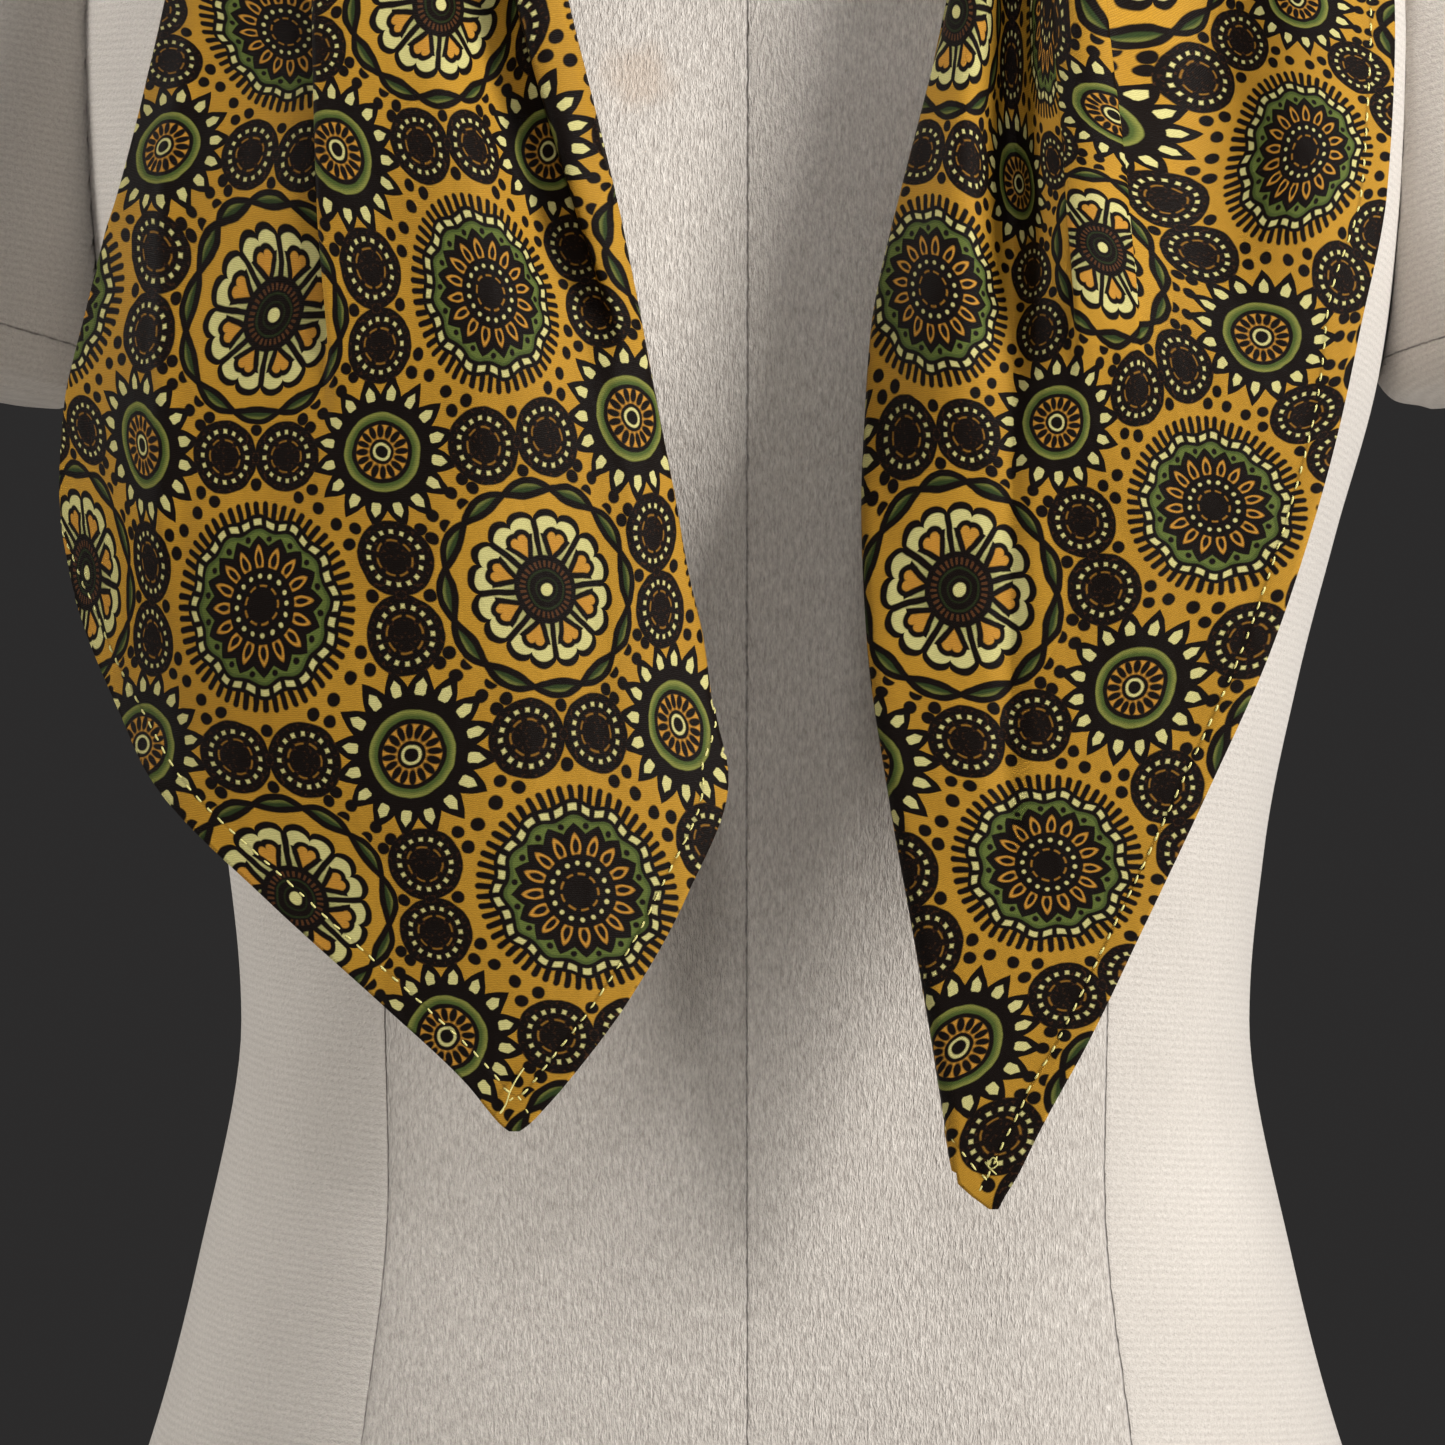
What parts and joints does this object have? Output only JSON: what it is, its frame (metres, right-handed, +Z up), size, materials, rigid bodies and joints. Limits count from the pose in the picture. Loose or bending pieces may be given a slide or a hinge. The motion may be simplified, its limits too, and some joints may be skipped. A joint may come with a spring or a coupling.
{
  "type": "scarf on a dress form",
  "caption": "Printed square scarf worn round the neck of a padded dress form, its two corners hanging down in front.",
  "frame": {"origin": "centre of the form's flat base, where it stands", "axes": "+Z up the form's centre line, -Y towards the front with the two hanging ends, +X towards the end with the folded edge"},
  "size_m": [0.463, 0.2816, 0.723],
  "materials": {
    "form_cover": "pale grey-white stretch cover with a fine crinkled nap",
    "scarf_cloth": "golden ochre printed scarf cloth, fine weave with a slight sheen"
  },
  "bodies": {
    "root": {"form_torso": "form_cover", "form_arm_left": "form_cover", "form_arm_right": "form_cover", "scarf_neck_band": "scarf_cloth", "scarf_open_end": "scarf_cloth", "scarf_folded_end": "scarf_cloth"}
  },
  "joints": []
}
